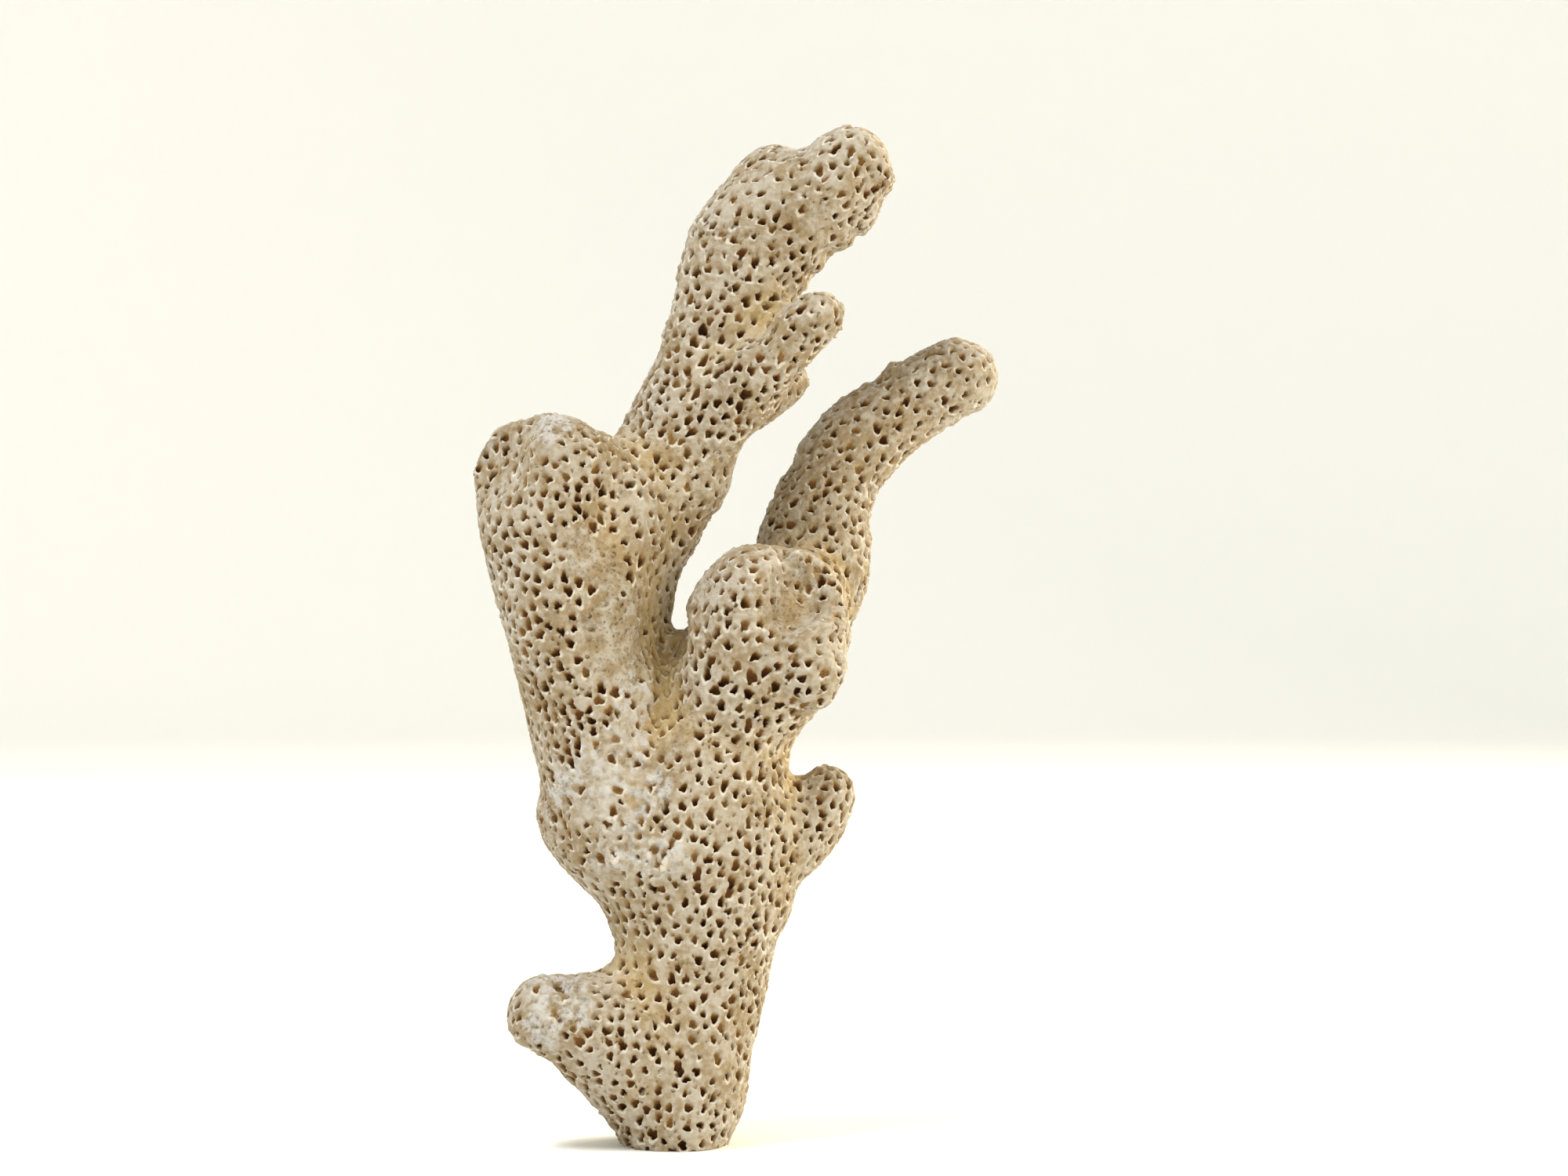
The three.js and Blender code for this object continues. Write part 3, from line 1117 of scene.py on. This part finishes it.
@dataclass
class Graph:
    """A node tree with short calls for adding and joining nodes."""

    tree: bpy.types.NodeTree

    def add(self, kind: str, **settings: object) -> bpy.types.Node:
        """Adds a node.

        Args:
            kind: the node's type, without its ShaderNode prefix.
            settings: properties to set on it.

        Returns:
            The new node.
        """
        node = self.tree.nodes.new("ShaderNode" + kind)
        for name, value in settings.items():
            setattr(node, name, value)
        return node

    def feed(self, socket: bpy.types.NodeSocket, value: object) -> None:
        """Links an output to an input, or sets the input to a constant.

        Args:
            socket: the input.
            value: the output or the constant.
        """
        if isinstance(value, bpy.types.NodeSocket):
            self.tree.links.new(value, socket)
        else:
            socket.default_value = value

    def calc(self, operation: str, first: object, second: object) -> bpy.types.NodeSocket:
        """A Math node's result.

        Args:
            operation: the Math operation.
            first: first number or socket.
            second: second number or socket.

        Returns:
            The output.
        """
        node = self.add("Math", operation=operation)
        self.feed(node.inputs[0], first)
        self.feed(node.inputs[1], second)
        return node.outputs[0]

    def times(self, first: object, second: object) -> bpy.types.NodeSocket:
        """The product of two numbers or sockets."""
        return self.calc("MULTIPLY", first, second)

    def rise(self, value: object, ends: tuple[float, float]) -> bpy.types.NodeSocket:
        """A smooth, clamped step.

        Args:
            value: the number or socket to pass through the step.
            ends: where the step is 0 and where it is 1.

        Returns:
            The output, from 0 to 1.
        """
        node = self.add("MapRange", interpolation_type="SMOOTHSTEP")
        self.feed(node.inputs["Value"], value)
        node.inputs["From Min"].default_value = ends[0]
        node.inputs["From Max"].default_value = ends[1]
        return node.outputs["Result"]

    def mix(self, share: object, first: object, second: object) -> bpy.types.NodeSocket:
        """Two colours mixed.

        Args:
            share: how much of the second.
            first: first colour or socket.
            second: second colour or socket.

        Returns:
            The mixed colour.
        """
        node = self.add("Mix", data_type="RGBA")
        self.feed(node.inputs[0], share)
        self.feed(node.inputs[6], first)
        self.feed(node.inputs[7], second)
        return node.outputs[2]

    def noise(self, place: bpy.types.NodeSocket, period: float, detail: float) -> bpy.types.NodeSocket:
        """Cloudy noise.

        Args:
            place: where it is read.
            period: its size in millimetres.
            detail: how many finer layers it has.

        Returns:
            The output, from 0 to 1.
        """
        node = self.add("TexNoise")
        self.feed(node.inputs["Vector"], place)
        node.inputs["Scale"].default_value = 1.0 / (period * MM)
        node.inputs["Detail"].default_value = detail
        return node.outputs["Fac"]

    def two_noises(self, place: bpy.types.NodeSocket, layers: Layers) -> bpy.types.NodeSocket:
        """A coarse and a fine noise added up.

        Args:
            place: where they are read.
            layers: period in millimetres, detail and share of each.

        Returns:
            The output.
        """
        parts = [self.times(self.noise(place, period, detail), share) for period, detail, share in layers]
        return self.calc("ADD", *parts)

    def cells(self, place: bpy.types.NodeSocket, spacing: float, wall: Span) -> bpy.types.NodeSocket:
        """Round spots on a solid ground.

        Args:
            place: where they are read.
            spacing: how far apart they are, in millimetres.
            wall: where a spot ends and the ground begins, as shares of the spacing.

        Returns:
            The output: 0 in a spot and 1 on the ground.
        """
        node = self.add("TexVoronoi")
        self.feed(node.inputs["Vector"], place)
        node.inputs["Scale"].default_value = 1.0 / (spacing * MM)
        return self.rise(node.outputs["Distance"], wall)

    def place(self) -> bpy.types.NodeSocket:
        """Where a point of the object lies, for the patterns to read."""
        return self.add("TexCoord").outputs["Object"]

    def mark(self, mark: Mark) -> bpy.types.NodeSocket:
        """A mark stored on the mesh."""
        return self.add("Attribute", attribute_name=mark.value).outputs["Fac"]

    def bump(self, shader: bpy.types.Node, height: object, strength: float, distance: float) -> None:
        """Gives a shader its fine bumps.

        Args:
            shader: the shader.
            height: the bumps.
            strength: how strongly they show.
            distance: their height in millimetres.
        """
        node = self.add("Bump")
        node.inputs["Strength"].default_value = strength
        node.inputs["Distance"].default_value = distance * MM
        self.feed(node.inputs["Height"], height)
        self.feed(shader.inputs["Normal"], node.outputs["Normal"])


@dataclass(frozen=True)
class ChalkGrain:
    """The dry, chalky grain that every face of the coral has, skin and cut alike."""

    pit_spacing: float = 0.42
    pit_wall: Span = (0.05, 0.42)
    pit_depth: float = 0.8
    grains: Layers = ((0.45, 4.0, 0.9), (0.18, 2.0, 0.35))
    clouds: Layers = ((5.0, 3.0, 0.45), (0.9, 4.0, 0.55))
    contrast: Span = (0.38, 0.60)

    def group(self) -> bpy.types.ShaderNodeTree:
        """Builds the grain.

        Returns:
            A group that takes a place and how pitted the face is, and gives a height and a mottle.
        """
        tree = bpy.data.node_groups.new("chalk_grain", "ShaderNodeTree")
        face = tree.interface
        face.new_socket(name="Place", in_out="INPUT", socket_type="NodeSocketVector")
        face.new_socket(name="Pitted", in_out="INPUT", socket_type="NodeSocketFloat")
        face.new_socket(name="Height", in_out="OUTPUT", socket_type="NodeSocketFloat")
        face.new_socket(name="Mottle", in_out="OUTPUT", socket_type="NodeSocketFloat")
        graph = Graph(tree)
        given = tree.nodes.new("NodeGroupInput")
        given_out = tree.nodes.new("NodeGroupOutput")
        place = given.outputs["Place"]
        pit = graph.calc("SUBTRACT", graph.cells(place, self.pit_spacing, self.pit_wall), 1.0)
        pits = graph.times(graph.times(pit, given.outputs["Pitted"]), self.pit_depth)
        height = graph.calc("ADD", graph.two_noises(place, self.grains), pits)
        graph.feed(given_out.inputs["Height"], height)
        mottle = graph.rise(graph.two_noises(place, self.clouds), self.contrast)
        graph.feed(given_out.inputs["Mottle"], mottle)
        return tree


def start_material(name: str) -> tuple[bpy.types.Material, Graph, bpy.types.Node]:
    """Starts a node material.

    Args:
        name: its name.

    Returns:
        The material, its graph and its shader.
    """
    material = bpy.data.materials.new(name)
    material.use_nodes = True
    graph = Graph(material.node_tree)
    shader = material.node_tree.nodes["Principled BSDF"]
    return material, graph, shader


@dataclass(frozen=True)
class WeatheredSkin:
    """The coral's outside: bone and grey-beige, with painted warm bounce light in the hollows, painted shade
    deepening down the pores and a painted highlight on the pores' lips.
    """

    # rim is the painted highlight on the pores' lips.
    rim: Colour = display(222, 214, 200)
    pale: Colour = display(174, 165, 150)
    bone: Colour = display(145, 127, 98)
    # Painted warm bounce light for the hollows of the forks.
    hollow_bounce_light: Colour = display(188, 160, 104)
    crust: Colour = display(190, 187, 183)
    dusty: Colour = display(140, 119, 85)
    # Painted shade down the pores: ochre at the mouth, partly the tube walls' own tint, deepening towards the
    # floor.
    ochre: Colour = display(152, 118, 66)
    painted_mid_pore_shade: Colour = display(106, 68, 30)
    painted_deep_pore_shade: Colour = display(70, 38, 12)
    pore_shade_stops: tuple[float, float, float] = (0.20, 0.55, 0.95)
    pore_shade_edge: Span = (0.02, 0.34)
    lip_highlight_edge: Span = (0.0, -0.40)
    lip_highlight_share: float = 0.6
    hollow_light_edge: Span = (-0.4, 0.8)
    hollow_light_share: float = 0.7
    dust_noise: Span = (1.6, 4.0)
    dust_edge: Span = (0.42, 0.62)
    dust_share: float = 0.7
    fleck_noise: Span = (1.1, 3.0)
    fleck_edge: Span = (0.40, 0.60)
    fleck_share: float = 0.8
    pitted: float = 0.15
    pitted_where_worn: float = 0.8
    roughness: float = 0.88
    polish: float = -0.08
    specular: float = 0.3
    bump: float = 0.9
    grain_height: float = 0.24

    def material(self, chalk: bpy.types.ShaderNodeTree) -> bpy.types.Material:
        """Builds the material.

        Args:
            chalk: the grain group.

        Returns:
            The finished material.
        """
        material, graph, shader = start_material("weathered_skin")
        place = graph.place()
        # pore carries the painted pore shade, and below zero the painted lip highlight.
        worn, crusted, pore = (graph.mark(mark) for mark in (Mark.WORN, Mark.CRUST, Mark.PORE))
        grain = graph.add("Group", node_tree=chalk)
        graph.feed(grain.inputs["Place"], place)
        pitted = graph.calc("ADD", graph.times(worn, self.pitted_where_worn), self.pitted)
        graph.feed(grain.inputs["Pitted"], pitted)
        skin = graph.mix(grain.outputs["Mottle"], self.bone, self.pale)
        # Painted warm bounce light in the hollows of the forks.
        hollow = graph.rise(graph.mark(Mark.HOLLOW), self.hollow_light_edge)
        skin = graph.mix(graph.times(hollow, self.hollow_light_share), skin, self.hollow_bounce_light)
        dust = graph.times(worn, graph.rise(graph.noise(place, *self.dust_noise), self.dust_edge))
        skin = graph.mix(graph.times(dust, self.dust_share), skin, self.dusty)
        fleck = graph.times(crusted, graph.rise(graph.noise(place, *self.fleck_noise), self.fleck_edge))
        skin = graph.mix(graph.times(fleck, self.fleck_share), skin, self.crust)
        # Painted highlight on the pores' lips, where the pore mark is below zero.
        skin = graph.mix(graph.times(graph.rise(pore, self.lip_highlight_edge), self.lip_highlight_share), skin, self.rim)
        # Painted shade down the pores.
        skin = graph.mix(graph.rise(pore, self.pore_shade_edge), skin, self.painted_pore_shade(graph, pore))
        graph.feed(shader.inputs["Base Color"], skin)
        polish = graph.times(grain.outputs["Mottle"], self.polish)
        graph.feed(shader.inputs["Roughness"], graph.calc("ADD", polish, self.roughness))
        shader.inputs["Specular IOR Level"].default_value = self.specular
        graph.bump(shader, grain.outputs["Height"], self.bump, self.grain_height)
        return material

    def painted_pore_shade(self, graph: Graph, pore: bpy.types.NodeSocket) -> bpy.types.NodeSocket:
        """Painted shade down a pore: ochre at its mouth, deepening towards its floor and its lower side.

        Args:
            graph: the material's graph.
            pore: the painted pore shade, higher deeper in a pore and on its lower side.

        Returns:
            The colour.
        """
        shades = graph.add("ValToRGB")
        graph.feed(shades.inputs["Fac"], pore)
        stops = shades.color_ramp.elements
        mouth, middle, floor = self.pore_shade_stops
        stops[0].position, stops[0].color = mouth, self.ochre
        stops[1].position, stops[1].color = floor, self.painted_deep_pore_shade
        stops.new(middle).color = self.painted_mid_pore_shade
        return shades.outputs["Color"]


@dataclass(frozen=True)
class CutFace:
    """The sawn underside of the foot: paler and fresher, with the tubes cut across and painted shade in their
    openings.
    """

    pale: Colour = display(220, 210, 190)
    bone: Colour = display(198, 182, 156)
    # Painted shade in the cut tubes' openings.
    painted_tube_shade: Colour = display(84, 60, 36)
    pitted: float = 0.6
    tube_spacing: float = 1.5
    tube_wall: Span = (0.16, 0.26)
    roughness: float = 0.92
    polish: float = -0.05
    grain_share: float = 0.2
    bump: float = 0.8
    tube_depth: float = 0.2

    def material(self, chalk: bpy.types.ShaderNodeTree) -> bpy.types.Material:
        """Builds the material.

        Args:
            chalk: the grain group.

        Returns:
            The finished material.
        """
        material, graph, shader = start_material("cut_face")
        place = graph.place()
        grain = graph.add("Group", node_tree=chalk)
        graph.feed(grain.inputs["Place"], place)
        grain.inputs["Pitted"].default_value = self.pitted
        solid = graph.cells(place, self.tube_spacing, self.tube_wall)
        skin = graph.mix(grain.outputs["Mottle"], self.bone, self.pale)
        # The cut tubes' openings get painted shade.
        graph.feed(shader.inputs["Base Color"], graph.mix(solid, self.painted_tube_shade, skin))
        roughness = graph.calc("ADD", graph.times(solid, self.polish), self.roughness)
        graph.feed(shader.inputs["Roughness"], roughness)
        height = graph.calc("ADD", solid, graph.times(grain.outputs["Height"], self.grain_share))
        graph.bump(shader, height, self.bump, self.tube_depth)
        return material


# ---------------------------------------------------------------- parting and dressing


@dataclass
class ForkPieces:
    """The finished coral parted at its forks, each piece closed and dressed."""

    labels: list[tuple[str, str]]
    skin_finish: bpy.types.Material
    cut_finish: bpy.types.Material
    cut_gap: float = 1e-8

    def part(self, whole: bpy.types.Object) -> list[bpy.types.Object]:
        """Parts the whole by its face labels.

        Args:
            whole: the finished skin.

        Returns:
            One object for each label.
        """
        before = set(bpy.context.scene.objects) - {whole}
        bpy.context.view_layer.objects.active = whole
        whole.select_set(True)
        bpy.ops.object.mode_set(mode="EDIT")
        bpy.ops.mesh.select_all(action="SELECT")
        bpy.ops.mesh.separate(type="MATERIAL")
        bpy.ops.object.mode_set(mode="OBJECT")
        return [piece for piece in bpy.context.scene.objects if piece not in before]

    def close(self, piece: bpy.types.Object) -> None:
        """Cuts the foot flat where the piece reaches the floor, and closes every cut with a hidden face.

        Args:
            piece: a parted piece, open at its forks.
        """
        work = bmesh.new()
        work.from_mesh(piece.data)
        if any(vert.co.z < 0.0 for vert in work.verts):
            everything = [*work.verts, *work.edges, *work.faces]
            made = bmesh.ops.bisect_plane(
                work,
                geom=everything,
                dist=self.cut_gap,
                plane_co=(0.0, 0.0, 0.0),
                plane_no=(0.0, 0.0, -1.0),
                clear_outer=True,
            )
            rim = [item for item in made["geom_cut"] if isinstance(item, bmesh.types.BMEdge)]
            self.fill(work, rim, 1)
        self.fill(work, [edge for edge in work.edges if edge.is_boundary], 0)
        work.to_mesh(piece.data)
        work.free()

    @staticmethod
    def fill(work: bmesh.types.BMesh, rim: list[bmesh.types.BMEdge], finish: int) -> None:
        """Fills open loops with flat-shaded faces that point out.

        Args:
            work: the piece's mesh.
            rim: the edges round the openings.
            finish: index of the material the new faces get.
        """
        if not rim:
            return
        made = bmesh.ops.holes_fill(work, edges=rim, sides=0)
        for face in made["faces"]:
            if not face.edges[0].is_contiguous:
                face.normal_flip()
            for edge in face.edges:
                edge.smooth = False
        split = bmesh.ops.triangulate(work, faces=made["faces"])
        for face in split["faces"]:
            face.smooth = False
            face.material_index = finish

    def dress(self, piece: bpy.types.Object) -> None:
        """Names a piece, closes it, gives it its finishes, attaches it to the root body and hides the branch
        solid it stands for.

        Args:
            piece: a parted piece.
        """
        title = piece.material_slots[0].material.name
        node = dict(self.labels)[title]
        self.close(piece)
        piece.data.materials.clear()
        piece.data.materials.append(self.skin_finish)
        piece.data.materials.append(self.cut_finish)
        piece.name = f"{title}_skin"
        piece.data.name = piece.name
        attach(piece, "root")
        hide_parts(node)
        LOG.info("%s: %d faces, stands for %s", piece.name, len(piece.data.polygons), node)


# ---------------------------------------------------------------- stage, light and camera


@dataclass(frozen=True)
class Lamp:
    """A soft square lamp: where it hangs and its side, in metres, its power in watts, and its tint."""

    name: str
    place: tuple[float, float, float]
    size: float
    power: float
    tint: tuple[float, float, float]

    def hang(self, target: Vector) -> None:
        """Hangs the lamp.

        Args:
            target: the place it points at.
        """
        light = bpy.data.lights.new(self.name, "AREA")
        light.shape = "SQUARE"
        light.size = self.size
        light.energy = self.power
        light.color = self.tint
        lamp = bpy.data.objects.new(self.name, light)
        lamp.location = self.place
        lamp.rotation_euler = (target - Vector(self.place)).to_track_quat("-Z", "Y").to_euler()
        bpy.context.scene.collection.objects.link(lamp)


@dataclass
class Studio:
    """A pale seamless sweep, soft light from the upper left, and the camera."""

    floor_radius: float = 1.1
    wall_height: float = 1.6
    fillet: float = 0.45
    sides: int = 96
    fillet_steps: int = 12
    paper: Colour = display(243, 243, 240)
    paper_roughness: float = 0.9
    lamps: tuple[Lamp, ...] = (
        Lamp("key_upper_left", (-0.34, -0.30, 0.95), 0.28, 8.0, (0.94, 0.97, 1.0)),
        Lamp("fill_right", (0.70, -0.25, 0.25), 0.5, 3.0, (1.0, 0.88, 0.64)),
        Lamp("edge_right", (0.60, 0.40, 0.40), 0.4, 6.5, (1.0, 0.87, 0.62)),
    )
    lit_place: tuple[float, float, float] = (0.005, 0.0, 0.055)
    room_tint: Colour = (1.0, 1.0, 0.985, 1.0)
    room_strength: float = 0.82
    focal_length: float = 85.0
    framed_width: float = 168.0 * MM
    framed_centre: Span = (11.5 * MM, 59.5 * MM)
    clip: Span = (0.01, 20.0)

    def sweep(self) -> None:
        """The floor and the round wall that rises from it in one curve."""
        work = bmesh.new()
        bmesh.ops.create_circle(work, cap_ends=True, radius=self.floor_radius, segments=self.sides)
        rim = list(work.edges)
        for step in range(1, self.fillet_steps + 1):
            turn = math.pi / 2.0 * step / self.fillet_steps
            made = bmesh.ops.extrude_edge_only(work, edges=rim)
            rim = [item for item in made["geom"] if isinstance(item, bmesh.types.BMEdge) and item.is_boundary]
            for vert in {vert for edge in rim for vert in edge.verts}:
                flat = Vector((vert.co.x, vert.co.y, 0.0)).normalized()
                vert.co = flat * (self.floor_radius + self.fillet * math.sin(turn))
                vert.co.z = self.fillet * (1.0 - math.cos(turn))
        made = bmesh.ops.extrude_edge_only(work, edges=rim)
        top = [item for item in made["geom"] if isinstance(item, bmesh.types.BMVert)]
        bmesh.ops.translate(work, verts=top, vec=(0.0, 0.0, self.wall_height))
        bmesh.ops.recalc_face_normals(work, faces=work.faces)
        mesh = bpy.data.meshes.new("paper_sweep")
        work.to_mesh(mesh)
        work.free()
        mesh.shade_smooth()
        sweep = bpy.data.objects.new("paper_sweep", mesh)
        bpy.context.scene.collection.objects.link(sweep)
        paper, _, shader = start_material("pale_paper")
        shader.inputs["Base Color"].default_value = self.paper
        shader.inputs["Roughness"].default_value = self.paper_roughness
        mesh.materials.append(paper)

    def light(self) -> None:
        """The lamps and the pale room light."""
        for lamp in self.lamps:
            lamp.hang(Vector(self.lit_place))
        world = bpy.data.worlds.new("room_light")
        world.use_nodes = True
        sky = world.node_tree.nodes["Background"]
        sky.inputs["Color"].default_value = self.room_tint
        sky.inputs["Strength"].default_value = self.room_strength
        bpy.context.scene.world = world
        bpy.context.scene.view_settings.view_transform = "Standard"

    def camera(self) -> None:
        """A level camera that looks along +Y at the coral."""
        lens = bpy.data.cameras.new("camera")
        lens.lens = self.focal_length
        lens.clip_start, lens.clip_end = self.clip
        distance = self.framed_width * lens.lens / lens.sensor_width
        camera = bpy.data.objects.new("camera", lens)
        camera.location = (self.framed_centre[0], -distance, self.framed_centre[1])
        camera.rotation_euler = (math.pi / 2.0, 0.0, 0.0)
        bpy.context.scene.collection.objects.link(camera)
        bpy.context.scene.camera = camera

    def build(self) -> None:
        """Sets the whole stage."""
        self.sweep()
        self.light()
        self.camera()


# ---------------------------------------------------------------- the making


def main() -> None:
    """Makes the coral, dresses it and sets it on its stage."""
    logging.basicConfig(level=logging.INFO, format="%(relativeCreated)d %(message)s")
    blank = CoralBlank()
    whole = blank.build()
    skin = Skin(whole.data)
    Relief().apply(skin)
    tree = search_tree(skin.points)
    calices = Pores(CALICES).sink(skin, CALICES.wanted(skin), tree)
    open_skin = 1.0 - ease(*PINHOLE_CLEARANCE, skin.marks[Mark.PORE])
    pinholes = Pores(PINHOLES).sink(skin, open_skin * PINHOLES.wanted(skin), tree)
    LOG.info("pores: %d calices, %d pinholes", calices, pinholes)
    skin.write()
    Tooth().apply(skin)
    chalk = ChalkGrain().group()
    pieces = ForkPieces(blank.labels, WeatheredSkin().material(chalk), CutFace().material(chalk))
    for piece in pieces.part(whole):
        pieces.dress(piece)
    Studio().build()


if __name__ == "__main__":
    main()
